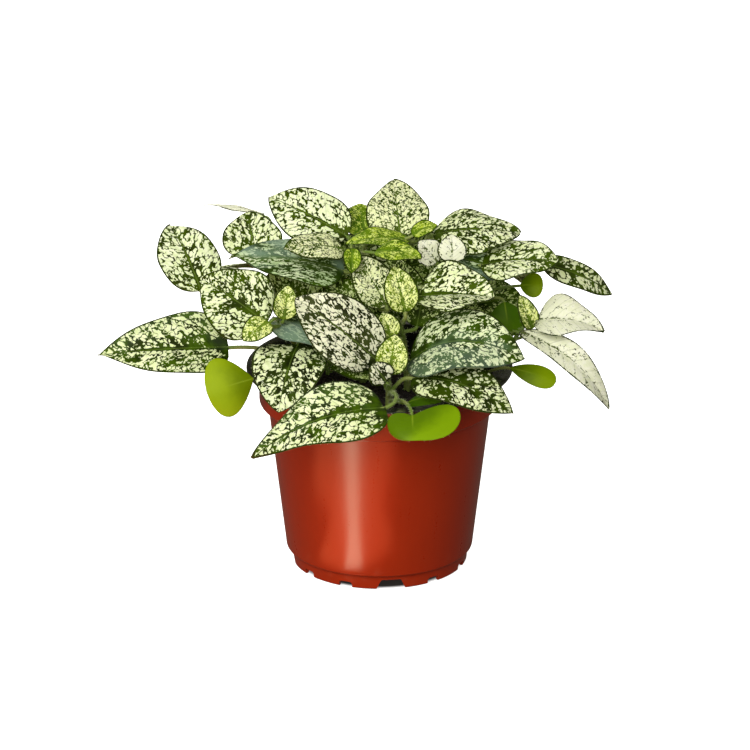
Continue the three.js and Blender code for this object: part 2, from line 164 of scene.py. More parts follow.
def grow(base, tree, sizes):
    # runs a tree on an object and keeps the plain mesh that it makes
    step = base.modifiers.new(tree.name, "NODES")
    step.node_group = tree
    for item in tree.interface.items_tree:
        if item.in_out == "INPUT" and item.name in sizes:
            step[item.identifier] = sizes[item.name]
    result = bpy.data.meshes.new_from_object(base.evaluated_get(bpy.context.evaluated_depsgraph_get()))
    base.modifiers.remove(step)
    return result


def put(name, data, smooth=True):
    thing = bpy.data.objects.new(name, data)
    bpy.context.scene.collection.objects.link(thing)
    if smooth:
        data.shade_smooth()
    return thing


def note(mesh, label, values, kind="FLOAT", field="value"):
    # numbers for the points of a mesh, which trees and materials read
    mesh.attributes.new(label, kind, "POINT").data.foreach_set(field, values)


def faceOutwards(mesh):
    shape = bmesh.new()
    shape.from_mesh(mesh)
    bmesh.ops.recalc_face_normals(shape, faces=shape.faces)
    shape.to_mesh(mesh)
    shape.free()


def joinPieces(name, pieces):
    first = pieces[0]
    with bpy.context.temp_override(object=first, active_object=first, selected_objects=pieces,
                                   selected_editable_objects=pieces):
        bpy.ops.object.join()
    first.name = first.data.name = name
    return first


def handIn(piece, node):
    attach(piece, "root")
    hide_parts(node)


cameraView = {"target": (-1.95, 0, 84.7), "elevation": 20.8, "distance": 2000, "lens": 221.2, "sensor": 36}


def setCamera():
    tilt = math.radians(cameraView["elevation"])
    away = Vector((0, -math.cos(tilt), math.sin(tilt))) * cameraView["distance"] * mm
    data = bpy.data.cameras.new("photoCamera")
    data.lens = cameraView["lens"]
    data.sensor_width = cameraView["sensor"]
    camera = put("photoCamera", data, smooth=False)
    camera.location = Vector(cameraView["target"]) * mm + away
    camera.rotation_euler = (math.pi / 2 - tilt, 0, 0)
    bpy.context.scene.camera = camera


# lamps and the floor's size in metres; its drop and shadow, and the strips of light on it, in mm
studio = {
    "sky": 0.34, "ground": 0.12, "horizon": (-0.2, 0.5), "skyColour": (1, 0.97, 0.8), "aim": (0, 0, 0.08),
    "key": {"place": (-0.62, -1.65, 1.15), "size": (1.7, 1.7), "power": 52.5},
    "fill": {"place": (1.5, -1.1, 1.3), "size": (0.8, 0.8), "power": 4},
    "back": {"place": (-0.4, 1.7, 0.7), "size": (1.2, 0.8), "power": 36},
    "glint": {"from": (-17, -48), "to": (-102, -190), "widths": (9, 44), "parts": 5, "radiance": 12,
              "colour": (1, 0.9, 0.62)},
    "glow": {"from": (-13, -50), "to": (-112, -212), "widths": (26, 520), "parts": 6, "radiance": 5.2,
             "colour": (1, 0.22, 0.08)},
    "floor": {"size": 12, "drop": 0.2, "white": (250, 250, 249), "grey": (244, 244, 244), "greySize": 0.7,
              "shadow": (34, 38), "shadowColour": (40, 38, 36), "shadowGlow": (0.02, 0.018, 0.016, 1)},
    "floorSurface": {"Roughness": 0.6, "Specular IOR Level": 0.1, "Emission Strength": 0.85},
}


def areaLight(name, place, size, power, aim):
    data = bpy.data.lights.new(name, "AREA")
    data.shape = "RECTANGLE"
    data.size, data.size_y = size
    data.energy = power
    lamp = put(name, data, smooth=False)
    lamp.location = place
    lamp.rotation_euler = (Vector(aim) - Vector(place)).to_track_quat("-Z", "Y").to_euler()
    return lamp


def floorStrip(name):
    # a strip of light on the floor that widens outwards, which only the pot's glossy side mirrors
    strip = studio[name]
    start, end = (Vector((x, y, 1)) * mm for x, y in (strip["from"], strip["to"]))
    step = (end - start) / strip["parts"]
    for i in range(strip["parts"]):
        share = (i + 0.5) / strip["parts"]
        width = (strip["widths"][0] * (1 - share) + strip["widths"][1] * share) * mm
        middle = start + step * (i + 0.5)
        power = strip["radiance"] * math.pi * width * step.length
        lamp = areaLight(f"{name}_{i}", middle, (width, step.length), power, middle + Vector((0, 0, 1)))
        lamp.rotation_euler = (math.pi, 0, math.atan2(-step.x, step.y))
        lamp.data.color = strip["colour"]
        lamp.visible_camera = lamp.visible_diffuse = False


def setWorld():
    world = bpy.data.worlds.new("studio")
    world.use_nodes = True
    board = Board(world.node_tree)
    backdrop = world.node_tree.nodes["Background"].inputs
    seen = board.add("ShaderNodeLightPath", out="Is Camera Ray")  # the camera sees white past the floor
    board.fill(backdrop["Color"], board.mix(seen, (*studio["skyColour"], 1), (1, 1, 1, 1)))
    height = board.add("ShaderNodeTexCoord", out="Generated").parts()[2]
    glow = studio["ground"] + height.rise(*studio["horizon"]) * (studio["sky"] - studio["ground"])
    board.fill(backdrop["Strength"], glow * (1 - seen) + seen)
    bpy.context.scene.world = world
    bpy.context.scene.view_settings.view_transform = "Standard"


def setLights():
    for name in ("key", "fill", "back"):
        plan = studio[name]
        lamp = areaLight(name, plan["place"], plan["size"], plan["power"], studio["aim"])
        lamp.visible_glossy = name != "back"  # the pots don't mirror the light behind them
    for name in ("glint", "glow"):
        floorStrip(name)


def setFloor():
    p = studio["floor"]
    bpy.ops.mesh.primitive_grid_add(x_subdivisions=8, y_subdivisions=8, size=p["size"])
    floor = bpy.context.object
    floor.name = "floor"
    floor.location.z = -p["drop"] * mm

    def skin(board):
        place = board.here()
        x, y = place.parts()[:2]
        near, far = p["shadow"]
        lit = ((x * x + y * y) ** 0.5).rise(near * mm, far * mm)  # the floor is dark in the pot's own shadow
        plain = board.mix(board.noise(place, p["greySize"], 1), tint(*p["white"]), tint(*p["grey"]))
        return {"Base Color": board.mix(lit, tint(*p["shadowColour"]), plain),
                "Emission Color": board.mix(lit, p["shadowGlow"], (1, 1, 1, 1))}

    floor.data.materials.append(paint("floor", studio["floorSurface"], skin))
    floor.visible_glossy = floor.visible_diffuse = False  # so that it doesn't wash out the colours


setCamera()
setWorld()
setLights()
setFloor()
print("camera, floor and lights are set")


turning = {"cornerSteps": 5, "cornerShare": 0.45, "sharpAngle": 35}


def roundedProfile(corners, radius):
    # the profile with each of its inner corners as a small curve
    points = []
    for i, corner in enumerate(corners):
        if i in (0, len(corners) - 1):
            points.append(corner)
            continue
        here, before, after = (np.array(p, float) for p in (corner, corners[i - 1], corners[i + 1]))
        reach = min(radius, *(turning["cornerShare"] * np.linalg.norm(p - here) for p in (before, after)))
        start, end = (here + (p - here) / np.linalg.norm(p - here) * reach for p in (before, after))
        for step in np.linspace(0, 1, turning["cornerSteps"]):
            points.append(tuple((1 - step) ** 2 * start + 2 * step * (1 - step) * here + step ** 2 * end))
    return points


def spinProfile(name, corners, radius, steps=144):
    # a closed body turned about Z from (radius, height) corners that start and end on the axis
    profile = roundedProfile(corners, radius)
    turns = [2 * math.pi * i / steps for i in range(steps)]
    points = [(0, 0, profile[0][1]), (0, 0, profile[-1][1])]
    points += [(r * math.cos(turn), r * math.sin(turn), z) for r, z in profile[1:-1] for turn in turns]
    rings = [[2 + k * steps + i for i in range(steps)] for k in range(len(profile) - 2)]
    faces = []
    for i in range(steps):
        j = (i + 1) % steps
        faces += [(0, rings[0][j], rings[0][i]), (1, rings[-1][i], rings[-1][j])]
        faces += [(low[i], low[j], high[j], high[i]) for low, high in zip(rings, rings[1:])]
    mesh = bpy.data.meshes.new(name)
    mesh.from_pydata([Vector(point) * mm for point in points], [], faces)
    return put(name, mesh)


def cutterBetween(base, top):
    # a closed cutter: two loops of as many points, with their caps and the sides between them
    count = len(base)
    faces = [list(range(count))[::-1], list(range(count, 2 * count))]
    faces += [[i, (i + 1) % count, (i + 1) % count + count, i + count] for i in range(count)]
    return base + top, faces


def notchCutter(outline, depth, turn, out):
    # an outline in X and Z, pushed outwards from the distance out, and turned about Z
    cos, sin = math.cos(math.radians(turn)), math.sin(math.radians(turn))
    loops = [[Vector((x * cos - y * sin, x * sin + y * cos, z)) * mm for x, z in outline]
             for y in (-out, -out - depth)]
    return cutterBetween(*loops)


def drainCutters(floor, phase):
    p = redPot
    turns = np.linspace(0, 2 * math.pi, p["drainSides"] + 1)[:-1]
    ring = [(math.cos(turn) * p["drainRadius"], math.sin(turn) * p["drainRadius"]) for turn in turns]
    cutters = []
    for i in range(p["drains"]):
        turn = math.radians(phase + 360 * i / p["drains"])
        middle = Vector((math.sin(turn), -math.cos(turn), 0)) * p["drainRing"]
        loops = [[(middle + Vector((x, y, z))) * mm for x, y in ring]
                 for z in (floor - p["drainBelow"], floor - p["drainBelow"] + p["drainDepth"])]
        cutters.append(cutterBetween(*loops))
    return cutters


def cutAway(piece, cutters):
    # takes all the cutters out of the piece in one go
    points, faces = [], []
    for more, loops in cutters:
        faces += [[i + len(points) for i in loop] for loop in loops]
        points += more
    mesh = bpy.data.meshes.new("cutters")
    mesh.from_pydata(points, [], faces)
    faceOutwards(mesh)
    tool = put("cutters", mesh, smooth=False)
    cut = piece.modifiers.new("cut", "BOOLEAN")
    cut.object, cut.operation, cut.solver = tool, "DIFFERENCE", "EXACT"
    mesh = bpy.data.meshes.new_from_object(piece.evaluated_get(bpy.context.evaluated_depsgraph_get()))
    piece.modifiers.remove(cut)
    piece.data = mesh
    bpy.data.objects.remove(tool)
    mesh.set_sharp_from_angle(angle=math.radians(turning["sharpAngle"]))


def finishPot(pot, cutters, material, node):
    cutAway(pot, cutters)
    pot.data.materials.clear()
    pot.data.materials.append(material)
    handIn(pot, node)


redPot = {
    "height": 85.6, "wall": 1.4, "rimRadius": 52.5, "rimHeight": 12.1, "shoulderRadius": 48.6,
    "heelRadius": 40.8, "heelHeight": 6.7, "footTopRadius": 39, "footRadius": 38.4, "footWall": 1.8,
    "middleRadius": 26, "middleFloor": 1.8, "channelHeight": 4.9, "channelFloor": 1.6, "channelLean": 0.8,
    "beadOut": 0.2, "beadSlope": 0.5, "beadDrop": 2.2, "corner": 0.9,
    "notches": 12, "notchPhase": 7.5, "bigEvery": 3, "bigNotch": (13, 8, 4.6), "smallNotch": (5.4, 4.6, 2.7),
    "notchDepth": 10, "notchInside": 3, "drains": 4, "drainPhase": 45, "drainRadius": 3.2, "drainRing": 31.4,
    "drainSides": 24, "drainBelow": 3, "drainDepth": 8,
    "red": (166, 43, 8), "deepRed": (152, 36, 6), "streakRed": (176, 52, 14), "dust": (150, 84, 56),
    "gloss": 0.24,
}


def redPlastic(board):
    place = board.here()
    x, y, z = place.parts()
    cloud = board.noise(place, 22, 3)
    streak = board.noise(board.vector(x * 260, y * 260, z * 14), 1, 2)  # faint drawn lines down the wall
    grit = board.noise(place, 1400, 2)
    dust = (board.noise(place, 160, 3) - z * 6).rise(0.5, 0.75)  # more of it low down
    colour = board.mix(cloud, tint(*redPot["red"]), tint(*redPot["deepRed"]))
    colour = board.mix(streak * 0.15, colour, tint(*redPot["streakRed"]))
    colour = board.mix(dust * 0.12, colour, tint(*redPot["dust"]))
    return {
        "Base Color": colour,
        "Roughness": redPot["gloss"] + streak * 0.06 + grit * 0.04 + dust * 0.2,
        "Normal": board.bump(streak * 0.5 + grit * 0.2, 0.05, 0.0002),
    }


def makeRedPot():
    p = redPot
    shoulder = p["height"] - p["rimHeight"]
    channel, channelTop = p["channelHeight"], p["channelHeight"] + p["channelFloor"]
    footInner = p["footRadius"] - p["footWall"]
    rim, wall, middle, lean = p["rimRadius"], p["wall"], p["middleRadius"], p["channelLean"]
    lip, neck = p["height"] - p["beadDrop"], rim - p["beadOut"]  # a fine bead runs round under the top edge
    pot = spinProfile("red_pot", [
        (0, 0), (middle, 0), (middle + lean, channel), (footInner - lean / 2, channel), (footInner, 0),
        (p["footRadius"], 0), (p["footTopRadius"], p["heelHeight"]), (p["heelRadius"], p["heelHeight"]),
        (p["shoulderRadius"], shoulder), (neck, shoulder + 0.6), (neck, lip - p["beadSlope"]), (rim, lip),
        (rim, p["height"]), (rim - wall, p["height"]), (rim - wall, shoulder + 1.6),
        (p["shoulderRadius"] - wall, shoulder + 0.2), (p["heelRadius"] - wall, channelTop + 0.8),
        (p["heelRadius"] - wall - 1, channelTop), (middle - lean, channelTop),
        (middle - lean - 1, p["middleFloor"]), (0, p["middleFloor"]),
    ], p["corner"])
    cutters = []
    for i in range(p["notches"]):
        foot, top, height = p["bigNotch"] if i % p["bigEvery"] == 0 else p["smallNotch"]
        right = [(foot / 2 + 0.3, -1), (top / 2 + 0.7, height - 0.8), (top / 2, height)]
        left = [(-x, z) for x, z in reversed(right)]
        outline = left[-1:] + right + left[:-1]
        turn = p["notchPhase"] + 360 * i / p["notches"]
        cutters.append(notchCutter(outline, p["notchDepth"], turn, footInner - p["notchInside"]))
    cutters += drainCutters(channel, p["drainPhase"])
    finishPot(pot, cutters, paint("redPlastic", {"Specular IOR Level": 0.3}, redPlastic), "outer_pot")


blackPot = {
    "bottom": 8, "wall": 1.3, "footRadius": 38.6, "shoulderRadius": 46.4, "shoulderHeight": 73.2,
    "bandRadius": 50.5, "bandHeight": 76.4, "seatRadius": 53.2, "seat": 85.9, "stepHeight": 2.4,
    "stepLean": 0.2, "flangeRadius": 57.75, "flangeThickness": 1.2, "corner": 0.45, "drainPhase": 0,
    "black": (14, 14, 16), "dust": (48, 44, 40),
    "surface": {"IOR": 1.5, "Coat Weight": 0.4, "Coat Roughness": 0.12},
}


def blackPlastic(board):
    place = board.here()
    grit = board.noise(place, 900, 2)
    dust = board.noise(place, 130, 3).rise(0.52, 0.75)
    return {
        "Base Color": board.mix(dust * 0.5, tint(*blackPot["black"]), tint(*blackPot["dust"])),
        "Roughness": 0.22 + dust * 0.4 + grit * 0.08,
        "Normal": board.bump(grit, 0.08, 0.0003),
    }


def makeBlackPot():
    p = blackPot
    wall, seat, band, seatRadius = p["wall"], p["seat"], p["bandRadius"], p["seatRadius"]
    floor = p["bottom"] + wall
    step = seat + p["stepHeight"]
    top = step + p["flangeThickness"]
    pot = spinProfile("black_liner_pot", [
        (0, p["bottom"]), (p["footRadius"], p["bottom"]), (p["shoulderRadius"], p["shoulderHeight"]),
        (band, p["bandHeight"]), (band, seat), (seatRadius, seat), (seatRadius + p["stepLean"], step),
        (p["flangeRadius"], step), (p["flangeRadius"], top), (seatRadius - 1, top),
        (seatRadius - wall, seat + wall), (band - wall, seat + wall), (band - wall, p["bandHeight"] + 0.7),
        (p["shoulderRadius"] - wall, p["shoulderHeight"] + 0.4), (p["footRadius"] - wall, floor), (0, floor),
    ], p["corner"])
    cutters = drainCutters(p["bottom"], p["drainPhase"])
    finishPot(pot, cutters, paint("blackPlastic", p["surface"], blackPlastic), "liner_pot")


makeRedPot()
makeBlackPot()
print("both pots are made")

soilBed = {
    "top": 79.4, "edgeTop": 78.2, "edgeShare": 0.2, "gap": 0.3, "edgeGap": 0.1, "rings": 34, "spokes": 120,
    "corner": 0.05, "rough": 0.7, "fine": 0.5, "seed": 11, "hollow": 0.8, "hollowRadius": 4, "crumbEdge": 1.2,
    "browns": ((0.3, (14, 10, 8)), (0.55, (36, 26, 20)), (0.72, (66, 48, 34))),
    "crumbs": {"Density": 0.16e6, "Size": 0.0011, "Ragged": 0.0005, "Seed": 4},
}


def soilSkin(board):
    place = board.here()
    clump = board.noise(place, 130, 4, 0.65)
    fibre = board.noise(place, 700, 3)
    stops = [(position, tint(*brown)) for position, brown in soilBed["browns"]]
    colour = board.add("ShaderNodeValToRGB", {"stops": stops}, {"Fac": clump * 0.7 + fibre * 0.3})
    return {
        "Base Color": colour,
        "Roughness": 0.82 + fibre * 0.15,
        "Normal": board.bump(clump + fibre * 0.5, 0.7, 0.0006),
    }


def scatter(board, inlet, label):
    # random points on the faces, as dense as the number noted there under the label
    return board.add("GeometryNodeDistributePointsOnFaces", {}, {
        "Mesh": inlet["Geometry"], "Density": board.noted(label) * inlet["Density"], "Seed": inlet["Seed"]})


def crumbTree():
    board, inlet = newTree("soilCrumbs", "Density", "Size", "Ragged", "Seed")
    lump = board.add("GeometryNodeMeshUVSphere", {}, {"Radius": inlet["Size"], "Segments": 7, "Rings": 5})
    turn = board.randomVector((0, 0, 0), (6.3, 6.3, 6.3), seed=1)
    placed = board.add("GeometryNodeInstanceOnPoints", {}, {
        "Points": scatter(board, inlet, "crumbly"), "Instance": lump,
        "Rotation": board.add("FunctionNodeEulerToRotation", {}, {"Euler": turn}),
        "Scale": board.randomVector((0.35, 0.35, 0.25), (1.5, 1.2, 0.9), seed=2)})
    real = board.add("GeometryNodeRealizeInstances", {}, {"Geometry": placed})
    wobble = board.add("ShaderNodeTexNoise", {}, {"Scale": 900, "Detail": 1}, out="Color")
    push = board.vectorMaths("SUBTRACT", {0: wobble, 1: (0.5, 0.5, 0.5)})
    push = board.vectorMaths("SCALE", {0: push, "Scale": inlet["Ragged"] * 4})
    moved = board.add("GeometryNodeSetPosition", {}, {"Geometry": real, "Offset": push})
    return endTree(board, inlet, moved)


def makeSoil(stems):
    s, liner = soilBed, blackPot

    def inside(radius):  # a little clear of the liner's wall
        return radius - liner["wall"] - s["gap"]

    floor = liner["bottom"] + liner["wall"] + s["gap"]
    edge = inside(liner["bandRadius"]) - s["edgeGap"]
    outline = [
        (0, floor), (inside(liner["footRadius"]), floor),
        (inside(liner["shoulderRadius"]), liner["shoulderHeight"] + 0.4),
        (inside(liner["bandRadius"]), liner["bandHeight"] + 1),
    ]
    for i in range(s["rings"] + 1):
        share = 1 - i / s["rings"]
        fall = min(1, (1 - share) / s["edgeShare"])
        outline.append((edge * share, s["edgeTop"] + (s["top"] - s["edgeTop"]) * fall))
    bed = spinProfile("soil_bed", outline, s["corner"], s["spokes"])
    level = (s["edgeTop"] - s["corner"]) * mm
    rng = np.random.default_rng(s["seed"])
    crumbly = []
    for vertex in bed.data.vertices:
        x, y = (vertex.co / mm).xy
        out, top = math.hypot(x, y), vertex.co.z > level
        if top:
            lumps = math.sin(0.21 * x + 0.9) * math.cos(0.17 * y - 0.5) + 0.5 * math.sin(0.33 * y + 0.14 * x)
            lift = s["rough"] * lumps * min(1, (edge - out) / 8)
            lift += rng.uniform(-s["fine"], s["fine"]) * (out < edge - 0.5)
            for foot, *rest in stems.values():  # the soil falls away a little round each stem
                near = math.hypot(x - foot[0], y - foot[1])
                lift -= s["hollow"] * max(0, 1 - near / s["hollowRadius"])
            vertex.co.z += lift * mm
        crumbly.append(1.0 if top and out < edge - s["crumbEdge"] else 0.0)
    note(bed.data, "crumbly", crumbly)
    soilMaterial = paint("pottingSoil", {}, soilSkin)
    bed.data.materials.append(soilMaterial)
    crumbs = put("crumbs", grow(bed, crumbTree(), {**s["crumbs"], "Material": soilMaterial}))
    piece = joinPieces("soil_with_crumbs", [bed, crumbs])
    handIn(piece, "soil")


# each stem's foot in the soil, its top and its leaves, in mm. A leaf has a look, the share of the stem where
# its stalk starts, the blade's start, end and width, where its upper face looks, how far it bows as a share
# of its length, the degrees of its fold, and an outline of its own where the plain one doesn't do
stems = {
    "front": ((4, -24), (4, -27, 92), [
        ("sunny", 0.05, (13.7, -64, 91), (14, -74.5, 83.6), 31, (0, -6, 8), 0.08, -4, (0.4, 0.42, 0.8, 0.32)),
        ("shaded", 0.05, (12, -31, 84), (27, -36, 88), 15, (0, -3, 9), 0.08, -4),
        ("banded", 0.2, (2, -55, 91), (-54, -63, 71), 33, (-1, -5, 8), 0.15, 12, (0.36, 1.0)),
        ("shady", 0.4, (14, -30, 95), (57, -49, 86), 26, (1, -5, 8), 0.15, 10),
        ("ash", 0.5, (-1, -28, 102), (-36, -24, 129), 31, (1, -8, 5), 0.1, 18),
        ("dark", 0.6, (-1, -24, 94), (-22, -29, 99), 13, (0, -4, 9), 0.08, 6),
        ("pale", 1, (4, -32, 97), (7, -28, 114), 15, (0, -9, 4), 0.05, 14),
        ("ash", 0.9, (3, -36, 95), (-3, -36, 104), 12, (1, -8, 4), 0.05, 10),
    ]),
    "left": ((-31, -6), (-43, -15, 114), [
        ("seed", 0.1, (-54, -26, 93), (-74, -31, 88.5), 26, (-2, -9, 3), 0.08, -4, (0.85, 0.45)),
        ("banded", 0.25, (-65, -6, 100), (-121, -16, 100), 34, (0, -6, 7), 0.03, 24, (0.46, 1)),
        ("shady", 0.45, (-35, -19, 106), (-43, -51, 87), 33, (0, -3, 9), 0.12, 14),
        ("sheen", 0.75, (-45, -7, 114), (-15, -30, 107), 26, (1, -3, 9), 0.08, 10),
        ("splash", 0.9, (-48, -23, 117), (-76, -14, 134), 34, (1, -7, 6), 0.06, 8),
        ("pale", 1, (-47, -26, 119), (-58, -34, 113), 13, (-1, -6, 7), 0.08, 15),
        ("pale", 1, (-41, -21, 118), (-39, -16, 132), 12, (1, -8, 4), 0.06, 18),
    ]),
    "left_back": ((-22, 16), (-47, 13, 132), [
        ("bright", 0.7, (-77, 2, 123), (-91, 28, 144), 28, (2, -7, 6), 0.08, 12),
        ("splash", 0.95, (-54, 6, 136), (-57, 19, 153), 27, (1, -7, 6), 0.06, 14),
        ("frost", 1, (-50, 24, 150), (-77, 38, 150), 11, (0, 2, 9), 0.05, 2),
        ("dark", 0.8, (-38, 8, 113), (-37, 10, 134), 28, (0, -8, 5), 0.06, 8),
        ("splash", 0.5, (-40, 22, 113), (-74, 36, 121), 28, (-3, 4, 8), 0.1, 8),
    ]),
    "middle": ((-7, 6), (-11, 4, 136), [
        ("creamy", 0.6, (3, -12, 121), (-10, -4, 141), 20, (2, -8, 5), 0.05, 14),
        ("dark", 0.5, (-3, -7, 112), (-23, -2, 128), 22, (0, -7, 7), 0.08, 8),
        ("sheen", 0.85, (-15, -3, 134), (-64, 1, 139), 30, (0, -4, 9), 0.07, 9, (0.5, 1.1)),
        ("creamy", 0.95, (-15, -4, 144), (-41, -12, 147), 20, (0, -3, 9), 0.08, 6),
        ("bright", 1, (-14, 13, 144), (-48, 31, 156), 28, (1, -7, 7), 0.05, 8),
        ("young", 0.95, (-6, 18, 142), (-9, 34, 152), 19, (0, -6, 8), 0.05, 10),
        ("young", 1, (-12, -6, 145), (-12, -13, 136), 9, (2, -6, 7), 0.12, 18),
        ("young", 1, (-2, -10, 145), (18, -16, 144), 15, (0, -3, 9), 0.1, 12),
        ("dark", 0.7, (-2, 20, 124), (-32, 24, 132), 30, (0, -7, 6), 0.06, 8),
    ]),
    "centre": ((12, -4), (9, -12, 112), [
        ("hazy", 0.25, (13, -20, 99), (62, -36, 106), 37, (1, -5, 8), 0.24, 12),
        ("pale", 0.9, (5, -22, 110), (1, -20, 121), 12, (1, -8, 5), 0.06, 16),
        ("dark", 0.85, (16, -8, 110), (20, -2, 128), 18, (0, -8, 5), 0.06, 8),
        ("pale", 1, (11, -20, 121), (6, -14, 140), 16, (1, -8, 5), 0.05, 20),
        ("splash", 1, (17, -16, 127), (49, -22, 129), 34, (0, -4, 9), 0.04, 26),
        ("dark", 0.6, (8, 0, 112), (6, 4, 138), 26, (0, -8, 5), 0.05, 8),
    ]),
    "right": ((35, -6), (57, -4, 101), [
        ("fresh", 0.1, (56, -13, 93), (76, -17, 88), 10, (0, -7, 6), 0.08, -4, (0.8, 0.42)),
        ("frost", 0.9, (60, -6, 107), (99, -16, 75), 15, (4, -7, 7), 0.2, 20, (0.6, 0.8)),
        ("pale", 1, (66, -3, 107), (60, -1, 122), 10, (4, -8, 3), 0.08, 20),
        ("frost", 1, (68, -2, 111), (97, -8, 108), 27, (1, -4, 9), 0.12, 18, (0.45, 1.1)),
    ]),
    "right_back": ((26, 14), (38, 8, 128), [
        ("dark", 0.4, (24, 3, 108), (46, -3, 113), 24, (0, -4, 9), 0.08, 8),
        ("shaded", 0.6, (54, 4, 117), (56, -2, 103), 16, (1, -9, 4), 0.08, -4),
        ("fresh", 0.7, (61, 14, 121), (71, 12, 122), 11, (1, -8, 5), 0.08, -4),
        ("splash", 0.9, (70, 15, 131), (102, 25, 113), 15, (2, -6, 8), 0.08, 6),
        ("splash", 1, (44, 2, 135), (77, -4, 139), 29, (0, -3, 9), 0.05, 11),
        ("sheen", 1, (31, 6, 137), (58, 4, 129), 18, (1, -6, 8), 0.08, 8),
        ("splash", 1, (23, 12, 145), (61, 14, 145), 31, (0, -3, 9), 0.08, 3),
        ("dark", 0.5, (42, 16, 112), (62, 16, 114), 22, (0, -7, 6), 0.06, 8),
        ("frost", 0.85, (31, -4, 138), (31, 1, 149), 13, (1, -8, 5), 0.06, 10),
    ]),
    "back": ((4, 26), (8, 18, 134), [
        ("seed", 0.1, (6, 60, 92), (8, 76, 85), 28, (0, 6, 8), 0.08, -4),
        ("splash", 0.6, (2, 40, 122), (-8, 84, 106), 32, (0, 4, 8), 0.14, 10),
        ("splash", 0.8, (16, 38, 126), (46, 66, 130), 28, (1, 3, 9), 0.1, 10),
        ("creamy", 1, (9, 12, 143), (6, 42, 160), 28, (0, -6, 8), 0.06, 8, (0.44, 0.78)),
        ("splash", 0.9, (-6, 24, 134), (16, 28, 144), 24, (0, -5, 8), 0.08, 6),
        ("young", 1, (14, 6, 147), (25, 8, 151), 10, (0, -4, 9), 0.08, 14),
        ("young", 0.96, (13, 8, 144), (-15, 0, 145), 16, (0, -2, 9), 0.08, 12),
        ("frost", 1, (25, -1, 137), (17, 1, 146), 14, (0, -5, 8), 0.06, 8),
        ("dark", 0.7, (8, 22, 126), (38, 26, 131), 28, (0, -7, 6), 0.06, 8),
        ("dark", 0.3, (10, 31, 98), (-18, 40, 103), 24, (0, -6, 8), 0.06, 8),
    ]),
    "back_left": ((-18, 34), (-32, 44, 122), [
        ("seed", 0.1, (-34, 52, 92), (-46, 66, 85), 26, (-3, 5, 8), 0.08, -4),
        ("splash", 0.6, (-44, 48, 116), (-84, 62, 104), 30, (-3, 4, 8), 0.12, 10),
        ("splash", 0.8, (-36, 56, 118), (-46, 98, 98), 32, (-1, 5, 8), 0.14, 10),
        ("splash", 1, (-28, 48, 130), (-16, 80, 126), 28, (1, 3, 9), 0.1, 10),
        ("frost", 1, (-38, 40, 128), (-66, 30, 128), 24, (-1, 1, 9), 0.08, 8),
        ("dark", 0.4, (-26, 44, 100), (-50, 53, 102), 26, (-3, 5, 7), 0.08, 8),
    ]),
    "back_right": ((20, 32), (34, 46, 120), [
        ("seed", 0.1, (34, 54, 92), (46, 68, 85), 26, (3, 5, 8), 0.08, -4),
        ("splash", 0.6, (44, 56, 114), (66, 92, 94), 30, (2, 5, 8), 0.14, 10),
        ("splash", 0.8, (32, 60, 118), (30, 102, 100), 32, (0, 5, 8), 0.14, 10),
        ("splash", 1, (48, 46, 122), (82, 52, 112), 24, (2, 2, 9), 0.1, 8),
        ("splash", 0.5, (22, 38, 112), (45, 44, 125), 26, (2, 3, 9), 0.08, 8),
    ]),
}

# a leaf's look: green, deeper green, cream, shaded cream, how much of it is cream, how wide a cream spot and
# half the green rib are in mm, and what isn't common: how rough, how much painted sheen, how its spots are
# drawn out
commonLook = {"rough": 0.5, "veil": 0, "stretch": 1}
leafLooks = {
    "splash": ((58, 80, 0), (32, 46, 0), (230, 234, 198), (212, 222, 164), 0.6, 2, 1.3, {}),
    "bright": ((58, 78, 2), (32, 44, 0), (234, 238, 204), (216, 226, 172), 0.68, 2, 1.1, {}),
    "shady": ((46, 66, 0), (16, 26, 0), (226, 231, 192), (204, 214, 156), 0.56, 2, 1.3, {}),
    "banded": ((56, 82, 0), (22, 36, 0), (232, 236, 194), (214, 224, 164), 0.58, 2, 2, {"veil": 0.04}),
    # a banded leaf with a painted sheen laid over its colour
    "hazy": ((54, 80, 4), (28, 46, 0), (230, 236, 194), (208, 220, 168), 0.51, 1.8, 2.2,
             {"rough": 0.42, "veil": 0.22}),
    # dark: less cream and darker creams than splash, as painted shade for the leaves deep in the foliage
    "dark": ((58, 84, 0), (32, 50, 0), (214, 224, 162), (180, 200, 112), 0.45, 1.3, 1.2, {}),
    "sheen": ((60, 86, 14), (34, 54, 6), (216, 226, 186), (160, 182, 128), 0.5, 1, 0.9,
              {"rough": 0.3, "veil": 0.6, "stretch": 0.4}),
    "creamy": ((66, 86, 18), (40, 58, 6), (232, 234, 192), (216, 222, 164), 0.66, 1.2, 0.5, {}),
    "ash": ((52, 62, 24), (20, 28, 6), (228, 226, 198), (208, 210, 176), 0.6, 1.3, 0.8,
            {"rough": 0.42, "stretch": 0.6}),
    "frost": ((88, 94, 58), (48, 54, 28), (231, 230, 209), (222, 224, 190), 1.08, 1.4, 0.6,
              {"rough": 0.38, "veil": 0.06}),
    "young": ((92, 122, 8), (62, 92, 2), (212, 222, 122), (170, 190, 54), 0.5, 0.9, 0.7, {}),
    "pale": ((100, 124, 24), (62, 88, 10), (232, 236, 170), (214, 222, 130), 0.64, 1, 0.7, {}),
}

# a seed leaf's look: its green near the stalk and far from it, how rough it is, how much painted shade
# darkens one side
seedLooks = {
    "seed": ((100, 120, 0), (138, 158, 6), 0.42, 0),
    "sunny": ((80, 110, 0), (116, 148, 2), 0.38, 0.06),
    "fresh": ((90, 118, 0), (122, 146, 2), 0.38, 0),
    # shaded: the seed greens darkened as painted shade, for seed leaves behind others
    "shaded": ((58, 92, 4), (80, 116, 8), 0.45, 0),
}

